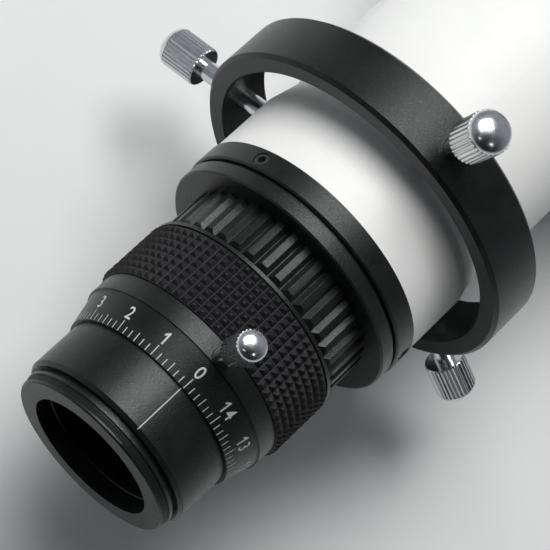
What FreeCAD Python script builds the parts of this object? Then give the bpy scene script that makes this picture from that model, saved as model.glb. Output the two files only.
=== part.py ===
"""Guide scope: helical focuser, white tube, two three-screw rings and a dovetail bar.

All sizes are millimetres. The row frame has +Z up, the optical axis along Y with the
objective towards +Y, and its origin at the centre of the underside of the dovetail bar.
Turned pieces are drawn in a station frame: local Z is the distance from the eyepiece end
face, and each body's Placement lays that axis along Y.
"""

import FreeCAD, Part
import math
import os
import Sketcher

V = FreeCAD.Vector

doc = FreeCAD.newDocument("guide_scope")
sheet = doc.addObject("Spreadsheet::Sheet", "Sizes")

# Driving dimensions: alias, value, meaning
SIZES = [
    # Eyepiece end ring with its camera thread
    ("camera_thread_d", 42.0, "male camera thread, M42"),
    ("camera_thread_len", 2.2, "length of the thread behind the end face"),
    ("thread_chamfer", 0.35, "chamfer at the start of the thread"),
    ("end_band_len", 1.0, "smooth band behind the thread"),
    ("end_band_proud", 0.4, "height of that band over the thread"),
    ("end_band_edge", 0.15, "chamfers of that band"),
    ("end_gap_depth", 0.5, "depth of the gap behind the band, below the thread"),
    ("barrel_bore_d", 31.8, "bore for a 1.25 inch eyepiece barrel"),
    ("mouth_step", 0.2, "radial step of the counterbore at the mouth"),
    ("mouth_len", 4.2, "depth of the counterbore"),
    ("mouth_chamfer", 0.2, "length of the chamfer down to the bore"),
    ("end_spigot_wall", 3.6, "wall of the end ring's threaded spigot"),
    ("end_spigot_len", 7.0, "length of that spigot"),
    # Drawtube
    ("drawtube_d", 45.3, "outside of the drawtube"),
    ("sleeve_gap", 1.0, "gap between the end ring's band and the drawtube"),
    ("sleeve_chamfer", 0.75, "radial chamfer at the rear of the drawtube"),
    ("sleeve_chamfer_len", 0.92, "length of that chamfer"),
    ("sleeve_showing", 13.5, "length that shows behind the scale"),
    ("barrel_depth", 34.7, "depth of the eyepiece bore in the drawtube"),
    ("drawtube_wall", 4.15, "wall at the front of the drawtube, where its bore is wider"),
    ("drawtube_tail", 13.0, "length of the drawtube ahead of the flange face"),
    ("focus_travel", 15.0, "travel of the drawtube"),
    ("keyway_depth", 1.8, "depth of the keyway in the drawtube"),
    ("keyway_w", 2.6, "width of the keyway"),
    # Focus ring with scale and grip
    ("scale_wall", 0.75, "wall at the small end of the scale cone"),
    ("scale_rise", 1.95, "radial rise of the scale cone"),
    ("scale_len", 7.7, "length of the scale cone"),
    ("band_step", 0.4, "radial step from the cone up to the smooth band"),
    ("band_edge", 0.08, "length of that step"),
    ("band_len", 4.8, "length of the band with its step"),
    ("seat_wall", 1.15, "wall under the rubber grip"),
    ("lip_height", 1.5, "height of the lip ahead of the grip, over the seat"),
    ("lip_len", 0.9, "length of that lip"),
    ("ring_step", 1.6, "wall station where the ring bore widens, ahead of the band"),
    ("grip_len", 15.92, "length of the grip"),
    ("grip_gap", 0.25, "gap between the band and the rubber"),
    ("grip_rows", 8, "pyramids along the grip"),
    ("grip_columns", 72, "pyramids round the grip"),
    ("grip_skin", 0.9, "rubber between the seat and the valleys"),
    ("grip_height", 0.9, "height of a pyramid"),
    ("grip_flat", 0.28, "share of a pyramid's base that its flat top keeps"),
    ("grip_turn", 2.4, "angle of the first valley from the top"),
    # Focuser base with the fluted collar
    ("guide_wall", 1.2, "wall of the guide tube inside the focus ring"),
    ("run_clear", 0.05, "radial running clearance"),
    ("end_clear", 0.25, "axial clearance of turning pieces"),
    ("collar_len", 11.81, "fluted collar with the groove behind it"),
    ("collar_groove_len", 0.58, "groove between focus ring and lands"),
    ("collar_floor", 0.5, "height of that groove's floor over the guide tube"),
    ("land_height", 1.25, "height of the lands over that floor, and of the chamfer at their rear ends"),
    ("collar_flute_depth", 1.1, "depth of a flute"),
    ("collar_flute_slope", 45.0, "slope of a flute's flanks, degrees"),
    ("collar_flute_floor", 0.2, "width of a flute's floor"),
    ("land_count", 40, "lands round the collar"),
    ("collar_turn", -3.1, "angle of the first flute from the top"),
    ("flange_step", 0.4, "radial step from the tube collar down to the flange"),
    ("flange_len", 3.6, "thickness of the flange"),
    ("flange_chamfer", 0.4, "chamfer of the flange"),
    ("groove_len", 1.0, "groove ahead of the flange"),
    ("groove_depth", 0.9, "depth of that groove"),
    ("collar_wall", 1.2, "wall of the tube collar's spigot, round the base's spigot"),
    ("base_spigot_len", 7.5, "length of the base's spigot inside the tube collar"),
    ("retainer_d", 2.5, "grub screws that hold the focus ring on its base"),
    ("retainer_depth", 0.55, "groove for them in the guide tube"),
    ("retainer_at", 7.0, "their distance behind the collar"),
    ("guide_screw_d", 3.0, "guide screw through the collar"),
    ("guide_screw_at", 5.6, "its distance behind the flange"),
    # Lock screw on the focus ring
    ("lock_at", 2.2, "its distance ahead of the scale cone"),
    ("lock_turn", 1.0, "its angle from the top"),
    ("lock_shank_d", 4.0, "shank"),
    ("lock_head_d", 6.9, "head"),
    ("lock_head_len", 9.7, "fluted length of the head"),
    ("lock_dome", 1.6, "height of the dome"),
    ("lock_neck", 8.0, "neck between band and head"),
    ("lock_flutes", 24, "flutes round the head"),
    ("lock_tip_len", 1.0, "nylon tip"),
    # Tube collar and main tube
    ("collar_proud", 0.3, "height of the tube collar over the tube"),
    ("tube_collar_len", 5.5, "its visible length"),
    ("tube_spigot_len", 9.0, "its threaded spigot in the tube"),
    ("set_screw_d", 3.6, "set screws in the collar"),
    ("set_screw_at", 2.9, "their distance from the rear of the collar"),
    ("set_screw_turn", -50.0, "angle of the first one from the top"),
    ("set_screw_sink", 0.3, "depth of their ends below the surface"),
    ("hex_share", 0.5, "hexagon across flats over screw diameter"),
    ("tube_d", 62.7, "outside of the tube"),
    ("tube_wall", 3.05, "wall of the tube"),
    ("tube_len", 135.8, "length of the tube"),
    ("waist_at", 18.0, "start of the turned waist, from the rear end"),
    ("waist_len", 17.6, "length of the waist"),
    ("waist_depth", 1.85, "depth of the waist"),
    # Baffles
    ("baffle_rear_at", 44.0, "rear baffle, from the rear of the tube"),
    ("baffle_front_at", 84.0, "front baffle, from the rear of the tube"),
    ("baffle_rear_height", 7.3, "height of the rear baffle, from the bore inwards"),
    ("baffle_front_height", 3.8, "height of the front baffle"),
    ("baffle_rim", 4.0, "length of a baffle's rim"),
    ("baffle_wall", 1.0, "thickness of a baffle"),
    ("slip_clear", 0.05, "radial clearance of slip fits"),
    # Objective
    ("cell_wall", 3.1, "wall of the objective cell over the tube"),
    ("cell_skirt_len", 8.0, "skirt of the cell over the tube"),
    ("cell_len", 32.0, "length of the cell ahead of the tube"),
    ("lens_inset", 0.85, "how much smaller the lenses' radius is than the tube's"),
    ("lens_rest", 1.7, "shoulder behind the lenses"),
    ("cell_throat_len", 10.0, "length of the cell's throat behind that shoulder"),
    ("lens_land", 1.8, "flat rim of a lens"),
    ("crown_front_radius", 140.0, "front curve"),
    ("inner_radius", 112.0, "facing curves of crown and flint"),
    ("flint_rear_radius", 400.0, "rear curve"),
    ("crown_edge", 2.6, "edge of the crown lens"),
    ("flint_edge", 7.0, "edge of the flint lens"),
    ("lens_spacer_len", 0.4, "spacer between the lenses"),
    ("retaining_ring_len", 3.0, "threaded ring ahead of the lenses"),
    ("retaining_ring_width", 1.6, "radial width of that ring at its front"),
    ("dew_shield_seat", 1.95, "wall of the dew shield over the cell"),
    ("dew_shield_wall", 1.6, "its wall ahead of the cell"),
    ("dew_shield_len", 56.0, "its length"),
    ("dew_shield_overlap", 20.0, "its threaded seat on the cell"),
    ("dew_shield_chamfer", 0.6, "chamfer at its edges"),
    # Mounting rings
    ("rear_ring_at", 91.0, "centre of the rear ring, from the end face"),
    ("ring_spacing", 90.0, "distance between the rings"),
    ("ring_gap", 7.05, "space between tube and ring"),
    ("ring_wall", 5.1, "radial thickness of a ring"),
    ("ring_w", 14.6, "width of a ring"),
    ("ring_chamfer", 0.9, "outer chamfer"),
    ("ring_inner_chamfer", 0.4, "inner chamfer"),
    ("ring_side_shift", 0.95, "how far the clamped tube sits beside the rings' centre"),
    ("ring_drop", 0.6, "how far the clamped tube sits below the rings' centre"),
    ("scope_turn", -1.0, "angle of the scope's index line from the top of the rings"),
    ("foot_w", 24.0, "width of a ring's foot"),
    ("foot_len", 4.0, "height of the foot below the ring"),
    ("ring_bolt_depth", 7.0, "depth of the threaded hole in the foot"),
    # Ring thumbscrews
    ("thumb_shank_d", 4.8, "shank"),
    ("thumb_reach", 21.0, "shank and tip, from the tube to the head"),
    ("thumb_head_d", 10.0, "head"),
    ("thumb_head_len", 9.2, "fluted length of the head"),
    ("thumb_dome", 2.6, "height of the dome"),
    ("thumb_flutes", 30, "flutes round the head"),
    ("flute_depth", 0.32, "depth of a flute"),
    ("dome_inset", 0.4, "step between flutes and dome"),
    ("thumb_tip_d", 4.2, "nylon tip"),
    ("thumb_tip_len", 2.0, "its length"),
    ("tip_round", 4.0, "radius of its end"),
    ("tip_peg_d", 2.0, "peg of a tip in its shank"),
    ("tip_peg_len", 1.5, "length of that peg"),
    ("peg_clear", 0.02, "radial clearance of a peg"),
    ("tip_clear", 0.2, "gap between a tip and what it presses on"),
    # Dovetail bar
    ("bar_len", 114.0, "length"),
    ("bar_w", 44.0, "width of its underside"),
    ("bar_h", 12.0, "thickness"),
    ("bar_flank", 15.0, "slope of its flanks from upright, degrees"),
    ("bar_chamfer", 1.0, "chamfer of its ends"),
    ("bolt_d", 6.0, "ring bolts"),
    ("bolt_clear", 0.2, "radial clearance of a bolt in the bar"),
    ("bolt_head_d", 10.0, "their heads"),
    ("bolt_head_len", 5.0, "height of a head"),
    ("bolt_head_clear", 0.3, "radial clearance of a head"),
    ("bolt_sink", 6.0, "depth of the counterbore"),
    ("bolt_grip", 6.0, "thread that reaches into the foot"),
]
for row, (alias, value, meaning) in enumerate(SIZES, start=1):
    sheet.set(f"A{row}", alias)
    sheet.set(f"B{row}", str(value))
    sheet.set(f"C{row}", meaning)
    sheet.setAlias(f"B{row}", alias)
doc.recompute()


def size(alias):
    """The number in a named cell."""
    return float(sheet.get(alias))


def cell(alias):
    """The expression that names a cell."""
    return f"Sizes.{alias}"


# Stations along the optical axis, as expressions, from the eyepiece end face
Z_END_BAND = cell("camera_thread_len")
Z_END_RING = f"({Z_END_BAND} + {cell('end_band_len')})"
Z_SLEEVE = f"({Z_END_RING} + {cell('sleeve_gap')})"
Z_SCALE = f"({Z_SLEEVE} + {cell('sleeve_showing')})"
Z_BAND = f"({Z_SCALE} + {cell('scale_len')})"
Z_GRIP = f"({Z_BAND} + {cell('band_len')})"
Z_RUBBER = f"({Z_GRIP} + {cell('grip_gap')})"
Z_LIP = f"({Z_RUBBER} + {cell('grip_len')})"
Z_RING_END = f"({Z_LIP} + {cell('lip_len')})"
Z_FLANGE = f"({Z_RING_END} + {cell('collar_len')})"
Z_GROOVE = f"({Z_FLANGE} + {cell('flange_len')})"
Z_COLLAR = f"({Z_GROOVE} + {cell('groove_len')})"
Z_TUBE = f"({Z_COLLAR} + {cell('tube_collar_len')})"
Z_TUBE_END = f"({Z_TUBE} + {cell('tube_len')})"
Z_SEAT = f"({Z_TUBE_END} + {cell('cell_throat_len')})"
Z_FLINT = f"({Z_SEAT} + {cell('flint_edge')})"
Z_CROWN = f"({Z_FLINT} + {cell('lens_spacer_len')})"
Z_CROWN_FRONT = f"({Z_CROWN} + {cell('crown_edge')})"
Z_CELL_END = f"({Z_TUBE_END} + {cell('cell_len')})"
Z_GUIDE_SCREW = f"({Z_FLANGE} - {cell('guide_screw_at')})"
Z_RETAINER = f"({Z_RING_END} - {cell('retainer_at')})"
Z_RING_STEP = f"({Z_GRIP} + {cell('ring_step')})"
Z_LOCK = f"({Z_BAND} + {cell('lock_at')})"


def half(alias):
    """The radius of a named diameter, as an expression."""
    return f"({cell(alias)} / 2)"


def number(expression):
    """The value of an expression over the sheet."""
    result = sheet.evalExpression(expression)
    return float(getattr(result, "Value", result))


# Radii that follow from others, as expressions
R_GUIDE = f"({half('drawtube_d')} + {cell('run_clear')} + {cell('guide_wall')})"
R_COLLAR_FLOOR = f"({R_GUIDE} + {cell('collar_floor')})"
R_LAND = f"({R_COLLAR_FLOOR} + {cell('land_height')})"
R_SCALE_REAR = f"({half('drawtube_d')} + {cell('run_clear')} + {cell('scale_wall')})"
R_SCALE_FRONT = f"({R_SCALE_REAR} + {cell('scale_rise')})"
R_BAND = f"({R_SCALE_FRONT} + {cell('band_step')})"
R_SEAT = f"({R_GUIDE} + {cell('run_clear')} + {cell('seat_wall')})"
R_LIP = f"({R_SEAT} + {cell('lip_height')})"
R_TUBE_BORE = f"({half('tube_d')} - {cell('tube_wall')})"
R_BASE_SPIGOT = f"({R_TUBE_BORE} - 2 * {cell('slip_clear')} - {cell('collar_wall')})"
R_TUBE_COLLAR = f"({half('tube_d')} + {cell('collar_proud')})"
R_FLANGE = f"({R_TUBE_COLLAR} - {cell('flange_step')})"
R_CELL = f"({half('tube_d')} + {cell('slip_clear')} + {cell('cell_wall')})"
R_LENS = f"({half('tube_d')} - {cell('lens_inset')})"
R_DEW_SHIELD = f"({R_CELL} + {cell('slip_clear')} + {cell('dew_shield_seat')})"
R_RING_BORE = f"({half('tube_d')} + {cell('ring_gap')})"
R_RING = f"({R_RING_BORE} + {cell('ring_wall')})"

# Places in the row frame, as expressions: the rings stand on the bar, the scope is clamped in them
FOOT_REACH = f"({R_RING} + {cell('foot_len')})"
RING_HEIGHT = f"({cell('bar_h')} + {FOOT_REACH})"
AXIS_HEIGHT = f"({RING_HEIGHT} - {cell('ring_drop')})"
SIDE = cell("ring_side_shift")
MID_STATION = f"({cell('rear_ring_at')} + {cell('ring_spacing')} / 2)"
ALONG_Y = FreeCAD.Rotation(V(1, 0, 0), -90)
SUBPARTS = []


def put(item, rotation, x, y, z):
    """Give an item its turn and bind its place to the sheet."""
    item.Placement = FreeCAD.Placement(V(number(x), number(y), number(z)), rotation)
    for axis, expression in (("x", x), ("y", y), ("z", z)):
        item.setExpression(f"Placement.Base.{axis}", expression)


def on_axis(item, turn=0.0):
    """Lay a turned piece on the optical axis, turned from the scope's top towards +X."""
    spin = FreeCAD.Rotation(V(0, 0, 1), turn + size("scope_turn") - 90)
    put(item, ALONG_Y.multiply(spin), SIDE, f"(0 - {MID_STATION})", AXIS_HEIGHT)


def radial(item, turn, reach, station, side, height):
    """Stand a screw with its local Z away from an axis, at an angle from the top towards +X."""
    angle = math.radians(turn)
    away = V(math.sin(angle), 0, math.cos(angle))
    x = f"({side} + {away.x:.9f} * {reach})"
    z = f"({height} + {away.z:.9f} * {reach})"
    put(item, FreeCAD.Rotation(V(0, 0, 1), away), x, f"({station} - {MID_STATION})", z)


def on_scope(item, turn, reach, station):
    """Stand a screw of the scope itself."""
    radial(item, turn + size("scope_turn"), reach, station, SIDE, AXIS_HEIGHT)


def plane(body, role):
    """One of a body's own origin planes or axes."""
    return next(item for item in body.Origin.OriginFeatures if item.Role == role)


def sketch_on(body, name, role, offset=None):
    """A sketch on an origin plane, lifted along its normal by an expression."""
    sketch = body.newObject("Sketcher::SketchObject", name)
    sketch.AttachmentSupport = [(plane(body, role), "")]
    sketch.MapMode = "FlatFace"
    if offset is not None:
        sketch.setExpression("AttachmentOffset.Base.z", offset)
    return sketch


def outline(sketch, points):
    """A closed outline of straight lines, each corner held by two bound distances."""
    corners = [V(number(x), number(y), 0) for x, y in points]
    count = len(corners)
    for i in range(count):
        sketch.addGeometry(Part.LineSegment(corners[i], corners[(i + 1) % count]), False)
    for i in range(count):
        sketch.addConstraint(Sketcher.Constraint("Coincident", i, 2, (i + 1) % count, 1))
    for i, (x, y) in enumerate(points):
        for kind, expression, at in (("DistanceX", x, corners[i].x), ("DistanceY", y, corners[i].y)):
            index = sketch.addConstraint(Sketcher.Constraint(kind, -1, 1, i, 1, at))
            sketch.setExpression(f"Constraints[{index}]", expression)


def new_body(label):
    body = doc.addObject("PartDesign::Body", label)
    body.Label = label
    SUBPARTS.append(body)
    return body


def turned(label, profile):
    """A body revolved from a profile of (radius, station) expressions."""
    body = new_body(label)
    sketch = sketch_on(body, f"{label}_profile", "XZ_Plane")
    outline(sketch, profile)
    turn = body.newObject("PartDesign::Revolution", f"{label}_turned")
    turn.Profile = sketch
    turn.ReferenceAxis = (sketch, ["V_Axis"])
    turn.Angle = 360
    return body


def circle_sketch(body, name, role, x, y, radius, offset=None):
    """A sketch with one bound circle."""
    sketch = sketch_on(body, name, role, offset)
    centre = V(number(x), number(y), 0)
    sketch.addGeometry(Part.Circle(centre, V(0, 0, 1), number(radius)), False)
    for kind, expression, at in (("DistanceX", x, centre.x), ("DistanceY", y, centre.y)):
        index = sketch.addConstraint(Sketcher.Constraint(kind, -1, 1, 0, 3, at))
        sketch.setExpression(f"Constraints[{index}]", expression)
    index = sketch.addConstraint(Sketcher.Constraint("Radius", 0, number(radius)))
    sketch.setExpression(f"Constraints[{index}]", radius)
    return sketch


def cut(body, name, sketch, length, up):
    """A pocket from a sketch, towards its normal when up is true."""
    before = body.Tip.Shape.Volume
    pocket = body.newObject("PartDesign::Pocket", name)
    pocket.Profile = sketch
    pocket.setExpression("Length", length)
    pocket.Reversed = up
    doc.recompute()
    if pocket.Shape.Volume >= before:
        raise ValueError(f"{body.Label}: {name} removes nothing")
    return pocket


def ring_pattern(body, name, feature, count, role="Z_Axis"):
    """Copies of a feature round a body's own axis."""
    pattern = body.newObject("PartDesign::PolarPattern", name)
    pattern.Originals = [feature]
    pattern.Axis = (plane(body, role), [""])
    pattern.Angle = 360
    pattern.setExpression("Occurrences", count)
    body.Tip = pattern
    return pattern


def radial_hole(body, name, station, radius, reach, up=True):
    """A round hole from the axis outwards along the body's local X."""
    doc.recompute()
    sketch = circle_sketch(body, f"{name}_circle", "YZ_Plane", "0", station, radius)
    return cut(body, name, sketch, reach, up)


def hex_socket(body, name, across, depth, offset):
    """A hexagon socket sunk from a station down the local Z."""
    doc.recompute()
    sketch = sketch_on(body, f"{name}_hexagon", "XY_Plane", offset)
    corner = f"({across} / sqrt(3))"
    points = [(f"{corner} * cos({60 * i})", f"{corner} * sin({60 * i})") for i in range(6)]
    outline(sketch, points)
    return cut(body, name, sketch, depth, False)


# Eyepiece end ring: camera thread outside, 1.25 inch bore inside
def end_ring():
    thread = half("camera_thread_d")
    band = f"({thread} + {cell('end_band_proud')})"
    edge = cell("end_band_edge")
    bore = half("barrel_bore_d")
    mouth = f"({bore} + {cell('mouth_step')})"
    spigot = f"({bore} + {cell('end_spigot_wall')})"
    z_spigot = f"({Z_SLEEVE} + {cell('end_spigot_len')})"
    gap_floor = f"({thread} - {cell('end_gap_depth')})"
    on_axis(turned("eyepiece_end_ring", [
        (mouth, "0"),
        (f"({thread} - {cell('thread_chamfer')})", "0"),
        (thread, cell("thread_chamfer")),
        (thread, Z_END_BAND),
        (f"({band} - {edge})", Z_END_BAND),
        (band, f"({Z_END_BAND} + {edge})"),
        (band, f"({Z_END_RING} - {edge})"),
        (f"({band} - {edge})", Z_END_RING),
        (gap_floor, Z_END_RING),
        (gap_floor, Z_SLEEVE),
        (spigot, Z_SLEEVE),
        (spigot, z_spigot),
        (bore, z_spigot),
        (bore, f"({cell('mouth_len')} + {cell('mouth_chamfer')})"),
        (mouth, cell("mouth_len")),
    ]))


# Drawtube: slides without turning, kept straight by the keyway
def drawtube():
    outer = half("drawtube_d")
    thread = f"({half('barrel_bore_d')} + {cell('end_spigot_wall')} + {cell('peg_clear')})"
    z_thread = f"({Z_SLEEVE} + {cell('end_spigot_len')} + {cell('end_clear')})"
    z_barrel = f"({Z_SLEEVE} + {cell('barrel_depth')})"
    z_front = f"({Z_FLANGE} + {cell('drawtube_tail')})"
    front = f"({outer} - {cell('drawtube_wall')})"
    body = turned("drawtube", [
        (thread, Z_SLEEVE),
        (f"({outer} - {cell('sleeve_chamfer')})", Z_SLEEVE),
        (outer, f"({Z_SLEEVE} + {cell('sleeve_chamfer_len')})"),
        (outer, z_front),
        (front, z_front),
        (front, z_barrel),
        (half("barrel_bore_d"), z_barrel),
        (half("barrel_bore_d"), z_thread),
        (thread, z_thread),
    ])
    on_axis(body, size("collar_turn") + 180.0)
    doc.recompute()
    floor = f"({outer} - {cell('keyway_depth')})"
    start = f"({Z_GUIDE_SCREW} - {cell('keyway_w')} / 2)"
    end = f"({Z_GUIDE_SCREW} + {cell('focus_travel')} + {cell('keyway_w')} / 2)"
    side = f"({cell('keyway_w')} / 2)"
    sketch = sketch_on(body, "keyway_outline", "YZ_Plane", floor)
    outline(sketch, [(f"(-{side})", start), (side, start), (side, end), (f"(-{side})", end)])
    cut(body, "keyway", sketch, cell("keyway_depth") + " * 2", True)


# Focus ring: scale cone, smooth band, grip seat and lip in one turned piece
def focus_ring():
    bore = f"({half('drawtube_d')} + {cell('run_clear')})"
    wide = f"({R_GUIDE} + {cell('run_clear')})"
    body = turned("focus_ring", [
        (bore, Z_SCALE),
        (R_SCALE_REAR, Z_SCALE),
        (R_SCALE_FRONT, Z_BAND),
        (R_BAND, f"({Z_BAND} + {cell('band_edge')})"),
        (R_BAND, Z_GRIP),
        (R_SEAT, Z_GRIP),
        (R_SEAT, Z_LIP),
        (R_LIP, Z_LIP),
        (R_LIP, Z_RING_END),
        (wide, Z_RING_END),
        (wide, Z_RING_STEP),
        (bore, Z_RING_STEP),
    ])
    on_axis(body, size("lock_turn"))
    lock_hole = f"({half('lock_shank_d')} + {cell('run_clear')})"
    radial_hole(body, "lock_hole", Z_LOCK, lock_hole, f"(2 * {R_BAND})")
    hole = radial_hole(body, "retainer_hole", Z_RETAINER, half("retainer_d"), f"(2 * {R_BAND})")
    ring_pattern(body, "retainer_holes", hole, "3")


# Rubber grip: rows of four-sided pyramids with small flat tops round a plain bore
def grip_sleeve():
    rows = int(size("grip_rows"))
    columns = int(size("grip_columns"))
    pitch = size("grip_len") / rows
    inner = number(R_SEAT)
    valley = inner + size("grip_skin")
    tip = valley + size("grip_height")
    flat = size("grip_flat") / 2
    start = number(Z_RUBBER)
    step = 2 * math.pi / columns

    def at(radius, column, station):
        return V(radius * math.cos(column * step), radius * math.sin(column * step), station)

    def face(*corners):
        return Part.Face(Part.makePolygon(list(corners) + [corners[0]]))

    faces = []
    end = start + size("grip_len")
    for row in range(rows):
        low = start + row * pitch
        high = low + pitch if row < rows - 1 else end
        mid = (low + high) / 2
        for column in range(columns):
            centre = column + 0.5
            a = at(valley, column, low)
            b = at(valley, column + 1, low)
            c = at(valley, column + 1, high)
            d = at(valley, column, high)
            e = at(tip, centre - flat, mid - flat * pitch)
            f = at(tip, centre + flat, mid - flat * pitch)
            g = at(tip, centre + flat, mid + flat * pitch)
            h = at(tip, centre - flat, mid + flat * pitch)
            faces += [face(a, b, f, e), face(b, c, g, f), face(c, d, h, g), face(d, a, e, h), face(e, f, g, h)]
    for station in (start, end):
        rim = Part.makePolygon([at(valley, column, station) for column in range(columns + 1)])
        hole = Part.Wire(Part.makeCircle(inner, V(0, 0, station)))
        faces.append(Part.makeFace([rim, hole], "Part::FaceMakerBullseye"))
    bore = Part.makeCylinder(inner, end - start, V(0, 0, start)).Faces[0]
    faces.append(bore)
    shell = Part.makeShell(faces)
    shell.sewShape()
    solid = Part.makeSolid(shell)
    if solid.Volume < 0:
        solid.reverse()
    sleeve = doc.addObject("Part::Feature", "grip_sleeve")
    sleeve.Label = "grip_sleeve"
    sleeve.Shape = solid
    on_axis(sleeve, size("grip_turn"))
    SUBPARTS.append(sleeve)


# Focuser base: guide tube, fluted collar, flange and spigot in one piece
def focuser_base():
    bore = f"({half('drawtube_d')} + {cell('run_clear')})"
    groove = f"({R_GUIDE} - {cell('retainer_depth')})"
    groove_half = f"({half('retainer_d')} + {cell('run_clear')})"
    z_guide = f"({Z_RING_STEP} + {cell('end_clear')})"
    z_hub = f"({Z_RING_END} + {cell('end_clear')})"
    z_chamfer = f"({Z_RING_END} + {cell('collar_groove_len')})"
    edge = cell("flange_chamfer")
    z_spigot = f"({Z_COLLAR} + {cell('base_spigot_len')})"
    body = turned("focuser_base", [
        (bore, z_guide),
        (R_GUIDE, z_guide),
        (R_GUIDE, f"({Z_RETAINER} - {groove_half})"),
        (groove, f"({Z_RETAINER} - {groove_half})"),
        (groove, f"({Z_RETAINER} + {groove_half})"),
        (R_GUIDE, f"({Z_RETAINER} + {groove_half})"),
        (R_GUIDE, z_hub),
        (R_COLLAR_FLOOR, z_hub),
        (R_COLLAR_FLOOR, z_chamfer),
        (R_LAND, f"({z_chamfer} + {cell('land_height')})"),
        (R_LAND, Z_FLANGE),
        (f"({R_FLANGE} - {edge})", Z_FLANGE),
        (R_FLANGE, f"({Z_FLANGE} + {edge})"),
        (R_FLANGE, Z_GROOVE),
        (f"({R_FLANGE} - {cell('groove_depth')})", Z_GROOVE),
        (f"({R_FLANGE} - {cell('groove_depth')})", Z_COLLAR),
        (R_BASE_SPIGOT, Z_COLLAR),
        (R_BASE_SPIGOT, z_spigot),
        (bore, z_spigot),
    ])
    on_axis(body, size("collar_turn"))
    doc.recompute()
    flute = sketch_on(body, "flute_outline", "XY_Plane", z_chamfer)
    floor = f"({cell('collar_flute_floor')} / 2)"
    mouth = f"({floor} + 2 * {cell('collar_flute_depth')} * tan({cell('collar_flute_slope')}))"
    bottom = f"({R_LAND} - {cell('collar_flute_depth')})"
    out = f"({bottom} + 2 * {cell('collar_flute_depth')})"
    outline(flute, [
        (bottom, f"(-{floor})"),
        (out, f"(-{mouth})"),
        (out, mouth),
        (bottom, floor),
    ])
    length = f"({Z_FLANGE} - {z_chamfer})"
    ring_pattern(body, "flutes", cut(body, "flute", flute, length, True), cell("land_count"))
    hole = f"({half('guide_screw_d')} + {cell('slip_clear')})"
    radial_hole(body, "guide_screw_hole", Z_GUIDE_SCREW, hole, f"(2 * {R_LAND})", False)


# Small screws that hold the focus ring and guide the drawtube
def retainer_screws():
    radius = f"({half('retainer_d')} - {cell('slip_clear')})"
    reach = f"({R_GUIDE} - {cell('retainer_depth')} + {cell('run_clear')})"
    length = f"({R_SEAT} - {reach} - {cell('run_clear')})"
    for index in range(3):
        profile = [("0", "0"), (radius, "0"), (radius, length), ("0", length)]
        body = turned(f"retainer_screw_{index + 1}", profile)
        on_scope(body, size("lock_turn") + 120.0 * index, reach, Z_RETAINER)
        hex_socket(body, "retainer_socket", f"({cell('retainer_d')} * {cell('hex_share')})",
                   f"({length} / 2)", length)


def guide_screw():
    radius = half("guide_screw_d")
    point = f"({half('keyway_w')} - {cell('run_clear')})"
    inside = f"({cell('keyway_depth')} - {cell('end_clear')})"
    reach = f"({half('drawtube_d')} - {inside})"
    length = f"({R_COLLAR_FLOOR} - {reach})"
    body = turned("guide_screw", [
        ("0", "0"),
        (point, "0"),
        (point, f"({inside} + {cell('run_clear')} * 4)"),
        (radius, f"({inside} + {cell('run_clear')} * 4)"),
        (radius, length),
        ("0", length),
    ])
    on_scope(body, size("collar_turn") + 180.0, reach, Z_GUIDE_SCREW)
    hex_socket(body, "guide_socket", f"({cell('guide_screw_d')} * {cell('hex_share')})",
               f"({length} / 3)", length)


# A thumbscrew: shank, fluted head and low dome, with a nylon tip pegged into its end
def thumbscrew(label, shank, reach, head, head_len, dome, flutes):
    shank_r = f"({shank} / 2)"
    head_r = f"({head} / 2)"
    dome_r = f"({head_r} - {cell('dome_inset')})"
    peg_r = f"({half('tip_peg_d')} * {shank} / {cell('thumb_shank_d')} + {cell('peg_clear')})"
    z_peg = f"({cell('tip_peg_len')} + {cell('peg_clear')})"
    z_head = reach
    z_rim = f"({reach} + {head_len})"
    edge = cell("flute_depth")
    body = turned(label, [
        (peg_r, "0"),
        (shank_r, "0"),
        (shank_r, z_head),
        (f"({head_r} - {edge})", z_head),
        (head_r, f"({z_head} + {edge})"),
        (head_r, z_rim),
        ("0", z_rim),
        ("0", z_peg),
        (peg_r, z_peg),
    ])
    doc.recompute()
    flute = sketch_on(body, f"{label}_flute_outline", "XY_Plane", z_head)
    root = f"({head_r} - {edge})"
    mouth = f"({head_r} * sin(180 / {flutes}) * 0.8)"
    outline(flute, [
        (root, "0"),
        (f"({head_r} + {edge})", f"(-{mouth} * 2)"),
        (f"({head_r} + {edge})", f"({mouth} * 2)"),
    ])
    notch = cut(body, f"{label}_flute", flute, head_len, True)
    ring_pattern(body, f"{label}_flutes", notch, flutes)
    doc.recompute()
    cap = sketch_on(body, f"{label}_dome_profile", "XZ_Plane")
    dome_profile(cap, z_rim, dome_r, dome)
    turn = body.newObject("PartDesign::Revolution", f"{label}_dome")
    turn.Profile = cap
    turn.ReferenceAxis = (cap, ["V_Axis"])
    turn.Angle = 360
    return body


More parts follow.
